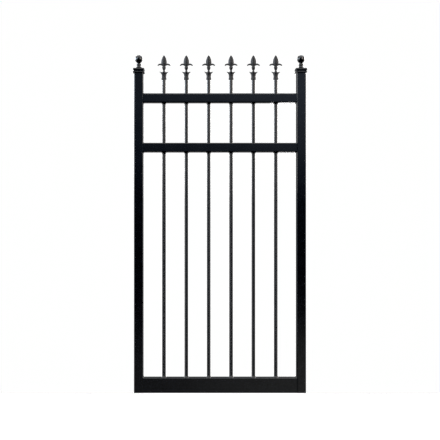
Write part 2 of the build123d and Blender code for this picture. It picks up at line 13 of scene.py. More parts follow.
import bmesh
import bpy
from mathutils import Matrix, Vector, noise
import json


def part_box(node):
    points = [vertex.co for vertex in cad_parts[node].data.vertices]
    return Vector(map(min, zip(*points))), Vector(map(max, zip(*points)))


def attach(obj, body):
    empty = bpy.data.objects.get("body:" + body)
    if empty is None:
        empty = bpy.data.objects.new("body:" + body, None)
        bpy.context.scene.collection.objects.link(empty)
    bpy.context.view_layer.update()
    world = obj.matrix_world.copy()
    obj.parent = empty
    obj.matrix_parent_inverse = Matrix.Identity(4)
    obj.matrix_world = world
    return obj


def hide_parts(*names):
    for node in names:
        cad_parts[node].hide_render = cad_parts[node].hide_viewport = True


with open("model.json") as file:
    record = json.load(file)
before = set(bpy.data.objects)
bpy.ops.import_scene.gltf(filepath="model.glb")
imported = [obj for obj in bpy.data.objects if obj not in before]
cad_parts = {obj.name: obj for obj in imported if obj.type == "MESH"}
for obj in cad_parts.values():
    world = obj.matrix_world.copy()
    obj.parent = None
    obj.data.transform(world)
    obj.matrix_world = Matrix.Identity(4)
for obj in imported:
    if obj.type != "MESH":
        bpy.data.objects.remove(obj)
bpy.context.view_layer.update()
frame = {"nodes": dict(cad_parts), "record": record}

# %% [markdown]
# ## Where things are
#
# A gate maker measures from the frame, and so does this file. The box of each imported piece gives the
# planes that the rest is built from: the leaf's foot, its front face and the centre line of each bar.
# Castings are drawn in millimetres, because that is how a pattern maker would note them, and a single
# factor turns them into metres.

# %% Measure the frame
MM = 0.001
BAR_COUNT = sum(1 for name in frame["nodes"] if name.startswith("bar_"))
BAR_NAMES = [f"bar_{number}" for number in range(1, BAR_COUNT + 1)]


def middle(node):
    """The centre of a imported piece's box."""
    low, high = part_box(node)
    return (low + high) / 2


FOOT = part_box("left_stile")[0].z
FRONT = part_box("left_stile")[0].y
LEFT_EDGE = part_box("left_stile")[0].x
RIGHT_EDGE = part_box("right_stile")[1].x
GATE_MIDDLE = (LEFT_EDGE + RIGHT_EDGE) / 2
bar_axes = [middle(name) for name in BAR_NAMES]
BAR_RADIUS = (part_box("bar_1")[1].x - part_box("bar_1")[0].x) / 2
print("foot", round(FOOT, 4), "front", round(FRONT, 4), "bar radius", round(BAR_RADIUS, 5))

# %% [markdown]
# ## Helpers for turned and moulded skins
#
# Almost every ornament on a gate is a stack of outlines: a ball is circles, a cap is squares that melt
# into circles, a spearhead is stars and hexagons. One helper joins equal-length rings of points into a
# skin of quads and closes each end on a centre point. A lathe modifier would only give the round ones, so
# the rings are written out here, and every shape in the file shares this one way of being made.

# %% Skin a stack of rings


def skin(mesh, rings):
    """Join rings of points, lowest first, into a closed skin of quads with a fan at each end."""
    loops = [[mesh.verts.new(point) for point in ring] for ring in rings]
    count = len(loops[0])
    for lower, upper in zip(loops, loops[1:]):
        for i in range(count):
            j = (i + 1) % count
            mesh.faces.new((lower[i], lower[j], upper[j], upper[i]))
    for loop, flip in ((loops[0], True), (loops[-1], False)):
        centre = mesh.verts.new(sum((v.co for v in loop), Vector()) / count)
        for i in range(count):
            pair = (loop[(i + 1) % count], loop[i]) if flip else (loop[i], loop[(i + 1) % count])
            mesh.faces.new((*pair, centre))


def piece_from(mesh, name, smooth_angle=40):
    """Turn a finished bmesh into an object in the scene, shaded smooth except across sharp edges."""
    bmesh.ops.recalc_face_normals(mesh, faces=mesh.faces)
    data = bpy.data.meshes.new(name)
    mesh.to_mesh(data)
    mesh.free()
    data.shade_smooth()
    data.set_sharp_from_angle(angle=math.radians(smooth_angle))
    piece = bpy.data.objects.new(name, data)
    bpy.context.scene.collection.objects.link(piece)
    return piece


def circle_ring(radius, height, count=64):
    """A level circle of points in millimetres."""
    turn = math.tau / count
    return [Vector((radius * math.cos(i * turn), radius * math.sin(i * turn), height)) for i in range(count)]


# %% Put a piece on the gate


def fit(piece, body, replaced, material):
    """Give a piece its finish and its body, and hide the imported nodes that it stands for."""
    piece.data.materials.clear()
    piece.data.materials.append(material)
    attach(piece, body)
    if replaced:
        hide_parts(*replaced)
    print(piece.name, "faces", len(piece.data.polygons), "rides on", body)


# %% [markdown]
# ## Finish: black powder coat
#
# Powder coat is sprayed on as dust and melts into a skin. It never lies quite flat: it has a fine ripple
# that painters call orange peel, about a millimetre or two across, and it thins a little and looks softer
# where the casting below is rough. One function makes every paint of the gate. The base colour drifts
# very slightly, the roughness is uneven, two noises at different scales drive the bump, and a pale film
# of dust gathers where a surface looks up. A flat black would read as a hole in the picture, so all of it
# matters even at low contrast.

# %% Node helpers


def new_material(name):
    """An empty node material with its output and a principled shader."""
    material = bpy.data.materials.new(name)
    material.use_nodes = True
    tree = material.node_tree
    shader = tree.nodes["Principled BSDF"]
    return material, tree, shader


def noise_node(tree, scale, detail=3.0, roughness=0.55):
    """Noise that rides on the object, so that a swinging leaf carries its own grain."""
    place = tree.nodes.new("ShaderNodeTexCoord")
    texture = tree.nodes.new("ShaderNodeTexNoise")
    texture.inputs["Scale"].default_value = scale
    texture.inputs["Detail"].default_value = detail
    texture.inputs["Roughness"].default_value = roughness
    tree.links.new(place.outputs["Object"], texture.inputs["Vector"])
    return texture


def spread(tree, source, low, high, start=0.3, end=0.7):
    """Map a noise value onto a range."""
    ramp = tree.nodes.new("ShaderNodeMapRange")
    ramp.inputs["From Min"].default_value = start
    ramp.inputs["From Max"].default_value = end
    ramp.inputs["To Min"].default_value = low
    ramp.inputs["To Max"].default_value = high
    tree.links.new(source, ramp.inputs["Value"])
    return ramp.outputs["Result"]


def bump_chain(tree, shader, layers):
    """Stack bumps, each a (height output, depth in metres) pair, into the shader's normal."""
    previous = None
    for height, depth in layers:
        bump = tree.nodes.new("ShaderNodeBump")
        bump.inputs["Strength"].default_value = 1.0
        bump.inputs["Distance"].default_value = depth
        tree.links.new(height, bump.inputs["Height"])
        if previous is not None:
            tree.links.new(previous, bump.inputs["Normal"])
        previous = bump.outputs["Normal"]
    tree.links.new(previous, shader.inputs["Normal"])


# %% The powder coat
# noise scales, from the slow drift of the colour to the finest grain of the skin
DRIFT_SCALE = 14
WAVER_SCALE = 26
PATCH_SCALE = 55
DUST_SCALE = 420
PEEL_SCALE = 620
GRAIN_SCALE = 1900
# the waver is this many times as deep as the peel
WAVER_DEPTH = 6
DUST_COLOUR = (0.19, 0.185, 0.175, 1)


def powder_coat(name, dark, light, roughness, peel, grain, dust, gloss=0.5):
    """Black powder coat. peel and grain are bump depths in metres, dust is how pale upper faces get."""
    material, tree, shader = new_material(name)
    links = tree.links

    drift = tree.nodes.new("ShaderNodeMix")
    drift.data_type = "RGBA"
    drift.inputs["A"].default_value = (*dark, 1)
    drift.inputs["B"].default_value = (*light, 1)
    links.new(spread(tree, noise_node(tree, DRIFT_SCALE, 4).outputs["Fac"], 0, 1), drift.inputs["Factor"])

    normal = tree.nodes.new("ShaderNodeNewGeometry")
    split = tree.nodes.new("ShaderNodeSeparateXYZ")
    links.new(normal.outputs["Normal"], split.inputs["Vector"])
    facing_up = spread(tree, split.outputs["Z"], 0, dust, 0.55, 1.0)
    speckle = spread(tree, noise_node(tree, DUST_SCALE, 5, 0.7).outputs["Fac"], 0.2, 1.0, 0.4, 0.65)
    film = tree.nodes.new("ShaderNodeMath")
    film.operation = "MULTIPLY"
    links.new(facing_up, film.inputs[0])
    links.new(speckle, film.inputs[1])
    dusty = tree.nodes.new("ShaderNodeMix")
    dusty.data_type = "RGBA"
    dusty.inputs["B"].default_value = DUST_COLOUR
    links.new(film.outputs[0], dusty.inputs["Factor"])
    links.new(drift.outputs["Result"], dusty.inputs["A"])
    links.new(dusty.outputs["Result"], shader.inputs["Base Color"])

    patch = noise_node(tree, PATCH_SCALE, 4)
    uneven = spread(tree, patch.outputs["Fac"], 0.8 * roughness, 1.25 * roughness)
    links.new(uneven, shader.inputs["Roughness"])

    peel_noise = noise_node(tree, PEEL_SCALE, 2, 0.4)
    grain_noise = noise_node(tree, GRAIN_SCALE, 3, 0.65)
    waver = noise_node(tree, WAVER_SCALE, 2, 0.5)
    layers = [
        (waver.outputs["Fac"], peel * WAVER_DEPTH),
        (peel_noise.outputs["Fac"], peel),
        (grain_noise.outputs["Fac"], grain),
    ]
    bump_chain(tree, shader, layers)
    shader.inputs["Specular IOR Level"].default_value = gloss
    return material


# All six paints are the same black powder coat. Their base colours are set per part as painted light and
# shade: the tubes and caps are made darker as painted shade, and the bars and castings lighter as painted
# light, so each comes out as dark as it looks under these lamps.
TUBE_PAINT = powder_coat(
    "tube_powder_coat", (0.0008, 0.0010, 0.0016), (0.0017, 0.0020, 0.0028),
    roughness=0.13, peel=0.000003, grain=0.0000008, dust=0.005,
)
BAR_PAINT = powder_coat(
    "bar_powder_coat", (0.0050, 0.0052, 0.0058), (0.0080, 0.0083, 0.0092),
    roughness=0.26, peel=0.000005, grain=0.0000015, dust=0.02,
)
CASTING_PAINT = powder_coat(
    "casting_powder_coat", (0.0085, 0.0087, 0.0098), (0.0140, 0.0143, 0.0157),
    roughness=0.40, peel=0.00003, grain=0.00001, dust=0.02, gloss=0.28,
)
CAP_PAINT = powder_coat(
    "cap_powder_coat", (0.0008, 0.0010, 0.0014), (0.0016, 0.0019, 0.0025),
    roughness=0.12, peel=0.000004, grain=0.000001, dust=0.005,
)
WELD_PAINT = powder_coat(
    "weld_powder_coat", (0.0012, 0.0014, 0.0018), (0.0022, 0.0025, 0.0031),
    roughness=0.26, peel=0.00002, grain=0.000008, dust=0.01,
)
HARDWARE_PAINT = powder_coat(
    "hardware_powder_coat", (0.0030, 0.0034, 0.0041), (0.0052, 0.0058, 0.0068),
    roughness=0.28, peel=0.000015, grain=0.000008, dust=0.04,
)

# %% [markdown]
# ## Finish: zinc and brass
#
# The pins, the slide bolt and the screws rub against other metal, so they are plated instead of painted:
# bright zinc for steel, and bare brass for the thrust washers. Both are metals with scratches that run
# around or along the part. A noise that is stretched along one axis gives the scratches, and a soft noise
# dulls them in patches.

# %% The bare metals
SCRATCH_SCALE = 900
SCRATCH_DEPTH = 0.000012
DULL_SCALE = 90
DULL_ROUGHENS = 0.18


def rubbed_metal(name, dark, light, roughness, stretch):
    """A plated or bare metal whose fine scratches run along the axis with the smallest stretch."""
    material, tree, shader = new_material(name)
    links = tree.links
    shader.inputs["Metallic"].default_value = 1.0
    place = tree.nodes.new("ShaderNodeTexCoord")
    pull = tree.nodes.new("ShaderNodeMapping")
    pull.inputs["Scale"].default_value = stretch
    scratch = tree.nodes.new("ShaderNodeTexNoise")
    scratch.inputs["Scale"].default_value = SCRATCH_SCALE
    scratch.inputs["Detail"].default_value = 4
    links.new(place.outputs["Object"], pull.inputs["Vector"])
    links.new(pull.outputs["Vector"], scratch.inputs["Vector"])
    tone = tree.nodes.new("ShaderNodeMix")
    tone.data_type = "RGBA"
    tone.inputs["A"].default_value = (*dark, 1)
    tone.inputs["B"].default_value = (*light, 1)
    dull = noise_node(tree, DULL_SCALE, 4)
    links.new(spread(tree, dull.outputs["Fac"], 0, 1), tone.inputs["Factor"])
    links.new(tone.outputs["Result"], shader.inputs["Base Color"])
    uneven = spread(tree, dull.outputs["Fac"], roughness, roughness + DULL_ROUGHENS)
    links.new(uneven, shader.inputs["Roughness"])
    bump_chain(tree, shader, [(scratch.outputs["Fac"], SCRATCH_DEPTH)])
    return material


ZINC = rubbed_metal(
    "zinc_plate", (0.36, 0.37, 0.37), (0.58, 0.58, 0.56), roughness=0.24, stretch=(0.05, 1.0, 1.0)
)
BRASS = rubbed_metal(
    "rubbed_brass", (0.42, 0.29, 0.11), (0.66, 0.49, 0.22), roughness=0.28, stretch=(1.0, 1.0, 0.1)
)

# %% [markdown]
# ## Tubes, bars and hidden hardware
#
# Rolled tube and drawn bar really are plain shapes with a rounded corner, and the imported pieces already
# have that corner, so they stay as they are. Each only needs the finish of its own material slot. The
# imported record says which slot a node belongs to, so one table from slot to finish dresses them all.

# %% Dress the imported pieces
FINISHES = {
    "tube_paint": TUBE_PAINT,
    "bar_paint": BAR_PAINT,
    "casting_paint": CASTING_PAINT,
    "cap_paint": CAP_PAINT,
    "weld_paint": WELD_PAINT,
    "hardware_paint": HARDWARE_PAINT,
    "zinc_steel": ZINC,
    "washer_brass": BRASS,
}
slot_of = {entry["node"]: entry["material_slot"] for entry in frame["record"]["subparts"]}
for name, node in frame["nodes"].items():
    node.data.materials.clear()
    node.data.materials.append(FINISHES[slot_of[name]])
print("dressed", len(slot_of), "packed pieces in", len(FINISHES), "finishes")

# %% [markdown]
# ## The spearheads
#
# Each bar ends in a cast iron spearhead with a socket that slips over it. From the foot up it has a
# rolled lip, a waisted socket, a crown of four petals, a thin neck, a teardrop bulb and a blade with a
# flat down its middle, and two barbs spring from the blade's base. It could be cut from separate solids,
# but a casting has no hard inner corners, because sand can't hold them. So the body is one skin of rings,
# the barbs are two more, and a voxel remesh melts them into a single cast surface, which a light
# smoothing then softens as paint does.

# %% Rings for the body of a spearhead
RING_POINTS = 96
PETAL_SHARPNESS = 0.75
# corners of the blade's section, as shares of its half width and half thickness
EDGE_THICK = 0.12
FLANK_OUT = 0.68
FLANK_THICK = 0.56
FLAT_OUT = 0.40


def petal_wave(angle):
    """One on the line of each of the four petals and nought half way between, with a pointed peak."""
    return 1 - abs(math.sin(2 * angle)) ** PETAL_SHARPNESS


def crown_ring(tip_radius, tip_height, valley_radius, valley_height):
    """A ring whose four petals reach out and up while the valleys between them stay on the socket."""
    ring = []
    for i in range(RING_POINTS):
        angle = math.tau * i / RING_POINTS
        share = petal_wave(angle)
        radius = valley_radius + (tip_radius - valley_radius) * share
        height = valley_height + (tip_height - valley_height) * share
        ring.append(Vector((radius * math.cos(angle), radius * math.sin(angle), height)))
    return ring


def blade_ring(half_width, half_thick, height, hollow):
    """A ring of the blade: a flat on each face, hollowed flanks and a narrow edge to each side."""
    corners = [
        Vector((half_width, -EDGE_THICK * half_thick)),
        Vector((half_width, EDGE_THICK * half_thick)),
        Vector((FLANK_OUT * half_width, (FLANK_THICK - hollow) * half_thick)),
        Vector((FLAT_OUT * half_width, half_thick)),
    ]
    corners += [Vector((-c.x, c.y)) for c in reversed(corners[1:])]
    corners += [Vector((-c.x, -c.y)) for c in corners[1:-1]]
    ring = []
    for i in range(RING_POINTS):
        angle = math.tau * i / RING_POINTS
        way = Vector((math.cos(angle), math.sin(angle)))
        reach = 0
        for a, b in zip(corners, corners[1:] + corners[:1]):
            edge = b - a
            cross = way.x * edge.y - way.y * edge.x
            if abs(cross) > 1e-9:
                along = (a.x * edge.y - a.y * edge.x) / cross
                share = (a.x * way.y - a.y * way.x) / cross
                if along > 0 and -1e-6 <= share <= 1 + 1e-6:
                    reach = max(reach, along)
        ring.append(Vector((way.x * reach, way.y * reach, height)))
    return ring


# %% The spearhead's body, from socket to tip


def spear_body(mesh):
    """Everything but the barbs, in millimetres above the foot of the socket."""
    rings = []
    # rolled lip and waisted socket
    for radius, height in [
        (10.6, 1.6), (11.7, 1.9), (12.4, 2.9), (12.6, 4.6), (12.5, 7.4), (12.0, 8.8), (11.1, 9.6),
        (10.6, 10.6), (11.2, 11.4), (11.4, 12.2), (11.1, 13.1), (10.6, 14.0), (10.6, 17.0), (10.9, 21.0),
        (11.4, 25.0),
    ]:
        rings.append(circle_ring(radius, height, RING_POINTS))
    # crown: out along the underside of the petals, back along their tops
    rings.append(crown_ring(12.2, 29.0, 11.9, 28.0))
    rings.append(crown_ring(13.6, 33.0, 12.2, 31.0))
    rings.append(crown_ring(16.4, 37.0, 12.6, 33.5))
    rings.append(crown_ring(20.4, 40.6, 12.9, 35.4))
    rings.append(crown_ring(23.6, 42.0, 13.0, 36.4))
    rings.append(crown_ring(23.4, 42.9, 12.8, 37.4))
    rings.append(crown_ring(19.6, 42.0, 12.2, 38.2))
    rings.append(crown_ring(15.8, 40.2, 11.2, 38.6))
    rings.append(crown_ring(12.0, 39.2, 10.2, 39.0))
    # neck and teardrop bulb, with a bead at its middle
    for radius, height in [
        (9.2, 39.6), (7.0, 41.0), (5.2, 43.2), (4.0, 46.0), (3.3, 48.6), (3.3, 50.2),
        (4.3, 52.6), (5.9, 55.6), (7.0, 58.8), (7.8, 61.4), (8.0, 62.8), (8.8, 63.6),
        (9.0, 65.0), (8.8, 66.4), (8.1, 67.4), (7.2, 70.0),
    ]:
        rings.append(circle_ring(radius, height, RING_POINTS))
    # blade
    for half_width, half_thick, height, hollow in [
        (6.2, 5.4, 71.8, 0.0), (8.0, 6.0, 75.0, 0.05), (10.6, 6.8, 79.5, 0.10), (12.6, 7.6, 85.5, 0.15),
        (13.5, 8.0, 92.0, 0.18), (13.3, 7.9, 98.0, 0.18), (12.2, 7.4, 105.0, 0.17), (10.2, 6.4, 112.0, 0.15),
        (7.4, 5.0, 119.0, 0.12), (4.2, 3.2, 125.0, 0.08), (1.4, 1.2, 129.2, 0.0), (0.4, 0.4, 130.0, 0.0),
    ]:
        rings.append(blade_ring(half_width, half_thick, height, hollow))
    skin(mesh, rings)


# %% The two barbs
BARB_POINTS = 24
BARB_RIDGE = 1.25


def barb(mesh, side):
    """A leaf-shaped barb that leaves the blade's base level, arches and curls down to a point."""
    # distance out, height, half height and half depth of the section, in millimetres
    stations = [
        (2.0, 79.5, 5.6, 4.6), (7.0, 80.6, 5.0, 4.4), (12.0, 82.0, 3.9, 4.0), (17.0, 82.9, 3.3, 3.7),
        (22.0, 82.7, 3.0, 3.4), (26.5, 81.2, 2.7, 3.0), (30.0, 79.0, 2.1, 2.4), (32.6, 77.0, 1.3, 1.6),
        (33.9, 75.9, 0.45, 0.6),
    ]
    rings = []
    for index, (out, height, tall, deep) in enumerate(stations):
        before = stations[max(index - 1, 0)]
        after = stations[min(index + 1, len(stations) - 1)]
        run = Vector((after[0] - before[0], 0, after[1] - before[1])).normalized()
        upright = Vector((-run.z, 0, run.x))
        ring = []
        for i in range(BARB_POINTS):
            angle = math.tau * i / BARB_POINTS
            ridge = math.copysign(abs(math.sin(angle)) ** BARB_RIDGE, math.sin(angle))
            point = Vector((out, 0, height)) + upright * (tall * ridge)
            point += Vector((0, deep * math.cos(angle), 0))
            ring.append(Vector((side * point.x, point.y, point.z)))
        rings.append(ring)
    skin(mesh, rings)


# %% Melt the parts into one casting
CASTING_VOXEL = 0.8 * MM


def cast_spearhead():
    """One spearhead as a single cast surface, with its socket's foot at the origin."""
    mesh = bmesh.new()
    spear_body(mesh)
    for side in (-1, 1):
        barb(mesh, side)
    bmesh.ops.scale(mesh, vec=Vector((MM, MM, MM)), verts=mesh.verts)
    pattern = piece_from(mesh, "spearhead_pattern")
    melt = pattern.modifiers.new("melt", "REMESH")
    melt.mode = "VOXEL"
    melt.voxel_size = CASTING_VOXEL
    soften = pattern.modifiers.new("soften", "SMOOTH")
    soften.factor = 0.5
    soften.iterations = 2
    shapes = bpy.context.evaluated_depsgraph_get()
    shapes.update()
    casting = bpy.data.meshes.new_from_object(pattern.evaluated_get(shapes))
    bpy.data.objects.remove(pattern)
    casting.shade_smooth()
    return casting


spearhead = cast_spearhead()
print("spearhead casting", len(spearhead.polygons), "faces")

for number, axis in enumerate(bar_axes, start=1):
    piece = bpy.data.objects.new(f"spearhead_{number}", spearhead)
    bpy.context.scene.collection.objects.link(piece)
    piece.location = (axis.x, axis.y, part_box(f"finial_{number}")[0].z)
    fit(piece, "leaf", [f"finial_{number}"], CASTING_PAINT)

# %% [markdown]
# ## The stile caps
#
# The caps are square where they sit on the stile and round where they meet the ball. A box with a cone on
# it would show a seam, so the cap is again one skin of rings, and each ring is a square whose corners
# have their own radius. When that radius grows to half the side, the square has become a circle. The
# outline goes in under the skirt too, because the overhang is seen from below.

# %% Rings that go from square to round
ARC_STEPS = 8
SIDE_STEPS = 4


def rounded_square(half, corner, height):
    """A square with rounded corners, with the same number of points whatever its corner radius."""
    corner = min(corner, half)
    flat = half - corner
    ring = []
    for quarter in range(4):
        turn = quarter * math.pi / 2
        along, out = Vector((-math.sin(turn), math.cos(turn))), Vector((math.cos(turn), math.sin(turn)))
        for step in range(SIDE_STEPS):
            point = out * half + along * flat * (2 * step / SIDE_STEPS - 1)
            ring.append(Vector((*point, height)))
        for step in range(ARC_STEPS):
            swing = turn + math.pi / 2 * step / ARC_STEPS
            point = out * flat + along * flat + Vector((math.cos(swing), math.sin(swing))) * corner
            ring.append(Vector((*point, height)))
    return ring


# %% The cap's outline
TUBE_FIT_HALF = 23.7
# half side, corner radius and height in millimetres, from inside the skirt, round its foot, up to the bead
CAP_OUTLINE = [
    (TUBE_FIT_HALF, 4.0, 17.0), (TUBE_FIT_HALF, 4.0, 0.6), (24.1, 4.2, 0.0), (28.3, 2.4, 0.0),
    (29.1, 2.8, 0.4), (29.5, 3.0, 1.4), (29.5, 3.0, 5.2), (29.2, 2.8, 6.4), (28.4, 2.4, 7.0),
    (27.5, 2.2, 7.2), (27.0, 2.0, 7.8), (27.0, 2.0, 12.4), (27.4, 2.2, 13.4), (28.2, 2.4, 13.9),
    (29.1, 2.8, 14.5), (29.5, 3.0, 15.6), (29.5, 3.0, 20.4), (29.1, 3.2, 22.2), (28.1, 3.4, 23.7),
    (26.6, 3.4, 24.7), (25.0, 3.2, 25.0), (21.8, 3.2, 25.5), (18.0, 4.0, 26.7), (14.6, 6.0, 28.8),
    (11.9, 8.4, 31.5), (10.0, 9.4, 34.6), (9.1, 9.1, 37.6), (9.0, 9.0, 40.6), (9.5, 9.5, 41.2),
    (10.8, 10.8, 41.9), (11.9, 11.9, 43.2), (12.3, 12.3, 45.0), (11.9, 11.9, 46.8),
    (10.8, 10.8, 48.1), (9.5, 9.5, 48.8), (8.7, 8.7, 49.0),
]


def stile_cap(name):
    """A stile cap with its foot at the origin."""
    mesh = bmesh.new()
    skin(mesh, [rounded_square(half, corner, height) for half, corner, height in CAP_OUTLINE])
    bmesh.ops.scale(mesh, vec=Vector((MM, MM, MM)), verts=mesh.verts)
    return piece_from(mesh, name, smooth_angle=50)


for side in ("left", "right"):
    seat = middle(f"post_cap_{side}")
    piece = stile_cap(f"stile_cap_{side}")
    piece.location = (seat.x, seat.y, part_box(f"post_cap_{side}")[0].z)
    fit(piece, "leaf", [f"post_cap_{side}"], CAP_PAINT)

# %% [markdown]
# ## The balls
#
# A turned ball meets its neck in a hollow curve, which a plain sphere doesn't have. Its outline is two
# arcs: a small hollow one out of the neck, and a large one round the ball to the top. The arcs are
# sampled by angle, so the rings stay evenly spaced over the curve and the highlight runs smoothly over
# it.

# %% Turn the balls
BALL_RADIUS = 20.0
BALL_CENTRE = 26.5
BALL_NECK = 8.7
BALL_NECK_TOP = 2.6
HOLLOW_FOOT = 3.0
# the point that the hollow curve bends towards: how far out from the neck, and how high
HOLLOW_PULL = (0.2, 7.6)
HOLLOW_STEPS = 8
ROUND_STEPS = 36
LEAVING_ANGLE = math.radians(-50)
# the last ring stops just short of the very top, and the fan closes it
TOP_ANGLE = math.pi / 2 - 0.02


def on_ball(angle):
    """Radius and height of the ball's surface at an angle above its middle."""
    return BALL_RADIUS * math.cos(angle), BALL_CENTRE + BALL_RADIUS * math.sin(angle)


def ball_outline():
    """Radius and height pairs of a ball on its neck, from the neck's foot to the crown."""
    outline = [(BALL_NECK, 0.0), (BALL_NECK, BALL_NECK_TOP)]
    join = Vector(on_ball(LEAVING_ANGLE))
    start = Vector((BALL_NECK, HOLLOW_FOOT))
    pull = Vector((BALL_NECK + HOLLOW_PULL[0], HOLLOW_PULL[1]))
    for step in range(1, HOLLOW_STEPS):
        t = step / HOLLOW_STEPS
        point = start * (1 - t) ** 2 + pull * 2 * t * (1 - t) + join * t ** 2
        outline.append((point.x, point.y))
    for step in range(ROUND_STEPS):
        outline.append(on_ball(LEAVING_ANGLE + (TOP_ANGLE - LEAVING_ANGLE) * step / (ROUND_STEPS - 1)))
    return outline


for side in ("left", "right"):
    seat = middle(f"cap_ball_{side}")
    mesh = bmesh.new()
    skin(mesh, [circle_ring(radius, height) for radius, height in ball_outline()])
    bmesh.ops.scale(mesh, vec=Vector((MM, MM, MM)), verts=mesh.verts)
    piece = piece_from(mesh, f"stile_ball_{side}", smooth_angle=60)
    piece.location = (seat.x, seat.y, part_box(f"cap_ball_{side}")[0].z)
    fit(piece, "leaf", [f"cap_ball_{side}"], CAP_PAINT)

# %% [markdown]
# ## Welds round the bars
#
# Under the two upper rails and on the bottom rail, a weld runs once round each bar. A weld is a row of
# small frozen pools, so its surface is rippled and never quite even. Each collar is a ring of sections
# that hug the bar: the section is hollow, broad on the rail and thin on the bar, and a ripple with some
# seeded unevenness pushes it in and out as it goes round. Paint softens the ripples, so they stay
# shallow.

# %% Lay the collars
COLLAR_STEPS = 72
RIPPLES = 26
# how far ripples and unevenness swell the collar, and the widest it may get in millimetres
RIPPLE_SWELL = 0.035
UNEVEN_SWELL = 0.06
UNEVEN_SCALE = 1.7
WIDEST_COLLAR = 7.2
SEED_STEP = 3.7
# distance from the bar's surface and distance from the rail, in millimetres
COLLAR_SECTION = [
    (0.02, 0.0), (6.8, 0.0), (6.9, 0.5), (5.7, 1.1), (4.3, 1.9), (3.0, 3.0), (1.9, 4.4), (1.2, 6.0),
    (0.8, 7.4), (0.5, 7.9), (0.02, 7.9),
]


def weld_collar(mesh, foot, direction, seed):
    """A rippled ring of weld round a bar. foot is on the bar's axis at the rail, direction is up or down."""
    loops = []
    for step in range(COLLAR_STEPS):
        angle = math.tau * step / COLLAR_STEPS
        way = Vector((math.cos(angle), math.sin(angle), 0))
        uneven = noise.noise(Vector((math.cos(angle), math.sin(angle), seed)) * UNEVEN_SCALE)
        swell = 1 + RIPPLE_SWELL * math.sin(RIPPLES * angle) + UNEVEN_SWELL * uneven
        loop = []
        for index, (out, up) in enumerate(COLLAR_SECTION):
            free = 0 < index < len(COLLAR_SECTION) - 1
            reach = BAR_RADIUS + MM * min(out * (swell if free else 1), WIDEST_COLLAR)
            loop.append(mesh.verts.new(foot + way * reach + Vector((0, 0, direction * up * MM))))
        loops.append(loop)
    count = len(COLLAR_SECTION)
    for here, there in zip(loops, loops[1:] + loops[:1]):
        for i in range(count):
            j = (i + 1) % count
            mesh.faces.new((here[i], here[j], there[j], there[i]))


for node, direction in (("top_rail_welds", -1), ("mid_rail_welds", -1), ("bottom_rail_welds", 1)):
    low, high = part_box(node)
    rail_face = high.z if direction < 0 else low.z
    mesh = bmesh.new()
    for number, axis in enumerate(bar_axes):
        weld_collar(mesh, Vector((axis.x, axis.y, rail_face)), direction, number * SEED_STEP + rail_face)
    piece = piece_from(mesh, node.replace("_welds", "_weld_collars"), smooth_angle=70)
    fit(piece, "leaf", [node], WELD_PAINT)

# %% [markdown]
# ## Fillet welds in the corners of the frame
#
# Where a rail meets a stile the welder runs a bead along the inner corner, from the front of the tube to
# its back. Its section is a hollow triangle. Sweeping that section backwards in small steps, with each
# step a little fuller or leaner than the last, leaves the ridges that a real bead has.

# %% Run the corner beads
BEAD_STEPS = 60
BEAD_LEG = 8.0
BEAD_RIPPLE = 3.1
# shares of the full leg: its mean, the ripples, the unevenness and where the bead starts and stops
MEAN_LEG = 0.94
BEAD_RIPPLE_SWELL = 0.035
BEAD_UNEVEN_SWELL = 0.07
BEAD_END = 0.55
BEAD_TAPER = 6
BEAD_SEED_STEP = 2.3
# leg shares along the stile's side and along the rail's side, round the hollow triangle
BEAD_SECTION = [
    (0.0, 0.0), (1.0, 0.0), (0.72, 0.07), (0.50, 0.18), (0.33, 0.33), (0.18, 0.50), (0.07, 0.72),
    (0.0, 1.0),
]


def corner_bead(mesh, corner, inward, upward, seed):
    """A rippled fillet along +Y that starts at corner and opens towards inward and upward."""
    low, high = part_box("frame_welds")
    rings = []
    for step in range(BEAD_STEPS + 1):
        share = step / BEAD_STEPS
        y = low.y + (high.y - low.y) * share
        ripple = BEAD_RIPPLE_SWELL * math.sin(math.tau * share * (high.y - low.y) / (BEAD_RIPPLE * MM))
        uneven = BEAD_UNEVEN_SWELL * noise.noise(Vector((share * 6, seed, 0.3)))
        ends = min(1.0, BEAD_TAPER * share + BEAD_END, BEAD_TAPER * (1 - share) + BEAD_END)
        leg = min(BEAD_LEG * MM, BEAD_LEG * MM * (MEAN_LEG + ripple + uneven) * ends)
        rings.append([
            Vector((corner.x + inward * a * leg, y, corner.z + upward * b * leg)) for a, b in BEAD_SECTION
        ])
    skin(mesh, rings)


mesh = bmesh.new()
inner_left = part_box("left_stile")[1].x
inner_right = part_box("right_stile")[0].x
edges = [(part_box("bottom_rail")[1].z, 1)]
for rail in ("mid_rail", "top_rail"):
    edges += [(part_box(rail)[0].z, -1), (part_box(rail)[1].z, 1)]
for number, (height, upward) in enumerate(edges):
    for inner, inward in ((inner_left, 1), (inner_right, -1)):
        corner_bead(mesh, Vector((inner, 0, height)), inward, upward, number * BEAD_SEED_STEP + inward)
piece = piece_from(mesh, "frame_corner_beads", smooth_angle=60)
fit(piece, "leaf", ["frame_welds"], WELD_PAINT)

# %% [markdown]
# ## A plain pale floor
#
# The gate hangs from its hinges, six centimetres above the ground. The floor is a matt light grey that the
# lamps light up to white, with a faint unevenness so that it isn't a flat colour. It is a stage and not
# part of the gate. It ends a little way behind the gate, so from the front nothing but the backdrop shows
# between the bars. It is left out of the reflections in the paint, as a stagehand would do by laying black
# cloth just out of view.

# %% Lay the floor
FLOOR_GAP = 0.06
FLOOR_HALF_WIDTH = 2.2
FLOOR_BEFORE = 2.2
FLOOR_BEHIND = 0.33
FLOOR_HALF_DEPTH = (FLOOR_BEFORE + FLOOR_BEHIND) / 2
FLOOR_DARK = (0.52, 0.52, 0.52, 1)
FLOOR_LIGHT = (0.56, 0.56, 0.56, 1)


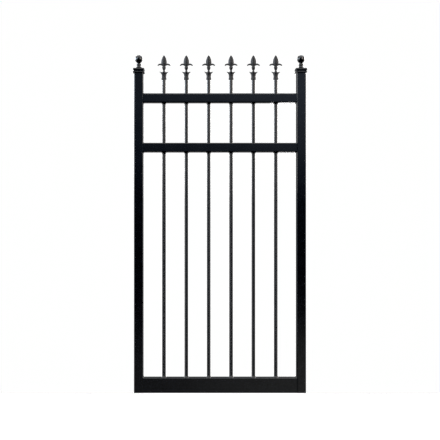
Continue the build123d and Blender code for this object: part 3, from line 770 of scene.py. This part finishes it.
def pale_floor():
    """A subdivided sheet of matt light grey under the gate."""
    mesh = bmesh.new()
    bmesh.ops.create_grid(mesh, x_segments=12, y_segments=12, size=1.0)
    bmesh.ops.scale(mesh, vec=Vector((FLOOR_HALF_WIDTH, FLOOR_HALF_DEPTH, 1)), verts=mesh.verts)
    floor = piece_from(mesh, "floor")
    floor.location = (GATE_MIDDLE, FRONT + FLOOR_BEHIND - FLOOR_HALF_DEPTH, FOOT - FLOOR_GAP)
    material, tree, shader = new_material("pale_floor")
    tone = tree.nodes.new("ShaderNodeMix")
    tone.data_type = "RGBA"
    tone.inputs["A"].default_value = FLOOR_DARK
    tone.inputs["B"].default_value = FLOOR_LIGHT
    tree.links.new(spread(tree, noise_node(tree, 6, 3).outputs["Fac"], 0, 1), tone.inputs["Factor"])
    tree.links.new(tone.outputs["Result"], shader.inputs["Base Color"])
    shader.inputs["Roughness"].default_value = 0.9
    shader.inputs["Specular IOR Level"].default_value = 0.1
    floor.data.materials.append(material)
    floor.visible_glossy = False


pale_floor()

# %% [markdown]
# ## Studio light
#
# Black paint shows what it reflects, so lighting it means deciding what stands around it. To the eye this
# studio is plain white. For the light, the half in front of the gate is pale above and below and black in
# a band level with the gate's middle. A flat front face mirrors a different height of that wall at each
# level, so the stiles come out grey at the top and foot and nearly black half way. The left of the wall
# is darker than the right, cool above and warm below, which keeps the black from looking like one flat
# colour.

# %% The surround
BACKDROP = 1.0
# brightness of the wall in front of the gate, by the sine of the angle above the horizon
FRONT_LEVELS = [
    (-0.40, 0.0), (-0.28, 0.10), (-0.20, 0.50), (-0.125, 0.48), (-0.080, 0.0), (0.005, 0.0),
    (0.030, 0.10), (0.070, 0.42), (0.120, 0.62), (0.30, 0.45), (0.60, 0.55),
]
LEVEL_REACH = 1.0
# how strong the front wall is at the far left and the far right
LEFT_SHARE = 0.62
RIGHT_SHARE = 1.35
# brightness behind the gate, low down and high up
REAR_LOW = 0.05
REAR_HIGH = 0.22
WARM_BELOW = (1.0, 0.99, 0.95, 1)
COOL_ABOVE = (0.80, 0.92, 1.12, 1)


def level_ramp(tree, height, levels):
    """A ramp over the sine of the height, from straight down to straight up."""
    scaled = spread(tree, height, 0, 1, -LEVEL_REACH, LEVEL_REACH)
    ramp = tree.nodes.new("ShaderNodeValToRGB")
    elements = ramp.color_ramp.elements
    for number, (at, level) in enumerate(levels):
        share = (at + LEVEL_REACH) / (2 * LEVEL_REACH)
        stop = elements[number] if number < 2 else elements.new(share)
        stop.position = share
        stop.color = (level, level, level, 1)
    tree.links.new(scaled, ramp.inputs["Fac"])
    return ramp.outputs["Color"]


def surround():
    """A world that is white to the eye. For the light it has a dark band in front, level with the gate."""
    world = bpy.data.worlds.new("studio")
    bpy.context.scene.world = world
    world.use_nodes = True
    tree = world.node_tree
    tree.nodes.clear()
    links = tree.links
    place = tree.nodes.new("ShaderNodeTexCoord")
    split = tree.nodes.new("ShaderNodeSeparateXYZ")
    links.new(place.outputs["Generated"], split.inputs["Vector"])
    front = level_ramp(tree, split.outputs["Z"], FRONT_LEVELS)
    slant = spread(tree, split.outputs["X"], LEFT_SHARE, RIGHT_SHARE, -0.04, 0.09)
    lean = tree.nodes.new("ShaderNodeMath")
    lean.operation = "MULTIPLY"
    links.new(front, lean.inputs[0])
    links.new(slant, lean.inputs[1])
    rear = spread(tree, split.outputs["Z"], REAR_LOW, REAR_HIGH, -0.1, 0.8)
    facing = spread(tree, split.outputs["Y"], 0, 1, -0.55, -0.25)
    level = tree.nodes.new("ShaderNodeMix")
    level.data_type = "FLOAT"
    links.new(facing, level.inputs["Factor"])
    links.new(lean.outputs[0], level.inputs["A"])
    links.new(rear, level.inputs["B"])
    hue = tree.nodes.new("ShaderNodeMix")
    hue.data_type = "RGBA"
    hue.inputs["A"].default_value = WARM_BELOW
    hue.inputs["B"].default_value = COOL_ABOVE
    links.new(spread(tree, split.outputs["Z"], 0, 1, -0.10, 0.02), hue.inputs["Factor"])
    lighting = tree.nodes.new("ShaderNodeBackground")
    links.new(hue.outputs["Result"], lighting.inputs["Color"])
    links.new(level.outputs["Result"], lighting.inputs["Strength"])
    seen = tree.nodes.new("ShaderNodeBackground")
    seen.inputs["Color"].default_value = (1, 1, 1, 1)
    seen.inputs["Strength"].default_value = BACKDROP
    path = tree.nodes.new("ShaderNodeLightPath")
    mix = tree.nodes.new("ShaderNodeMixShader")
    links.new(path.outputs["Is Camera Ray"], mix.inputs["Fac"])
    links.new(lighting.outputs[0], mix.inputs[1])
    links.new(seen.outputs[0], mix.inputs[2])
    out = tree.nodes.new("ShaderNodeOutputWorld")
    links.new(mix.outputs[0], out.inputs["Surface"])


surround()

# %% [markdown]
# ## The lamps
#
# Rounded pieces need lamps, because a round bar shows only a thin strip of each. The overhead lamp caps
# the balls with light. The two in front, left and right, draw the soft patches on balls and spearheads.
# The two at the rear corners and the one at the side graze the edges of the bars, left cool, right warm.
# Two more at the back light the hinges and the bolt, with a gap between them. The inner sides of the
# stiles act as mirrors when they are seen edge on: a lamp straight behind would shine in them as brightly
# as the backdrop, and the stiles would look thinner wherever it did.

# %% Hang the lamps


def soft_lamp(name, place, target, size, power, colour):
    """A rectangular soft lamp that points at a target and doesn't show itself."""
    lamp = bpy.data.lights.new(name, "AREA")
    lamp.shape = "RECTANGLE"
    lamp.size, lamp.size_y = size
    lamp.energy = power
    lamp.color = colour
    stand = bpy.data.objects.new(name, lamp)
    bpy.context.scene.collection.objects.link(stand)
    stand.location = place
    stand.rotation_euler = (Vector(target) - Vector(place)).to_track_quat("-Z", "Y").to_euler()
    stand.visible_camera = False


# lamps are placed from a point in the middle of the gate's front
CENTRE = Vector((GATE_MIDDLE, FRONT, FOOT + 0.905))
# name, place and target from CENTRE in metres, width and height, power in watts, colour
LAMPS = [
    ("overhead", (0, 0, 3.2), (0, 0, 0), (5.0, 3.6), 260, (1, 1, 1)),
    ("back_left", (-1.55, 3.2, 1.3), (-0.4, 0, 0.2), (1.8, 2.2), 58, (1, 1, 1)),
    ("back_right", (1.35, 3.2, 1.3), (0.4, 0, 0.2), (1.8, 2.2), 58, (1, 1, 1)),
    ("left", (-3.0, -1.5, 2.2), (0, 0, 0.4), (3.0, 2.6), 330, (0.80, 0.90, 1.0)),
    ("left_rear", (-3.0, 1.2, 1.35), (0, 0, 0.7), (2.5, 2.0), 165, (0.93, 0.97, 1.0)),
    ("right_rear", (2.6, 1.8, 1.35), (0, 0, 0.7), (1.7, 1.6), 80, (1.0, 0.94, 0.90)),
    ("left_side", (-3.3, -0.1, 0.4), (0, 0, 0), (1.8, 3.2), 110, (0.76, 0.88, 1.0)),
    ("right", (2.4, -1.9, 2.1), (0, 0, 0.4), (1.5, 1.9), 190, (1.0, 0.90, 0.80)),
]
for name, place, target, size, power, colour in LAMPS:
    soft_lamp(name, CENTRE + Vector(place), CENTRE + Vector(target), size, power, colour)

# %% [markdown]
# ## The camera
#
# A gate is drawn square on, so the camera stands well back with a long lens. Distance and lens go
# together: the lens is chosen first, and the distance follows from how many metres of gate the picture
# has to hold. The camera stands a little to the left of the gate's middle, and a small shift brings the
# gate back to the centre.

# %% Set up the camera
SENSOR = 36.0
LENS = 90.0
PICTURE_WIDTH = 2.345
CAMERA_ASIDE = -0.20
CAMERA_HEIGHT = 0.921

lens = bpy.data.cameras.new("camera")
lens.lens = LENS
lens.sensor_width = SENSOR
lens.shift_x = -CAMERA_ASIDE / PICTURE_WIDTH
lens.clip_end = 100
camera = bpy.data.objects.new("camera", lens)
bpy.context.scene.collection.objects.link(camera)
distance = PICTURE_WIDTH * LENS / SENSOR
camera.location = (GATE_MIDDLE + CAMERA_ASIDE, FRONT - distance, FOOT + CAMERA_HEIGHT)
camera.rotation_euler = (math.pi / 2, 0, 0)
bpy.context.scene.camera = camera
print("camera distance", round(distance, 3), "shift", round(lens.shift_x, 4))

# %% [markdown]
# ## The print
#
# A bar that is only three picture points wide is mixed with the white round it. Plain light mixes so that
# white wins, and thin black things come out thinner than they look to us. A printer would choose a harder
# paper. The curve does the same: it holds shadows and middle tones down, so that a point half covered by
# black prints as dark grey, and it leaves pure black and pure white where they are.

# %% Print with a harder curve
# each pair is a scene value and the printed value
PRINT_CURVE = [
    (0.0, 0.0), (0.006, 0.0012), (0.02, 0.011), (0.05, 0.033), (0.1, 0.055), (0.2, 0.085),
    (0.35, 0.15), (0.5, 0.235), (0.7, 0.43), (0.85, 0.67), (1.0, 1.0),
]
view = bpy.context.scene.view_settings
view.view_transform = "Standard"
view.use_curve_mapping = True
contrast = view.curve_mapping.curves[3]
contrast.points[0].location = PRINT_CURVE[0]
contrast.points[1].location = PRINT_CURVE[-1]
for scene_value, printed_value in PRINT_CURVE[1:-1]:
    contrast.points.new(scene_value, printed_value)
view.curve_mapping.update()
print("print curve points", len(contrast.points))

# %% [markdown]
# ## End of the scene

# %% Last cell
import json
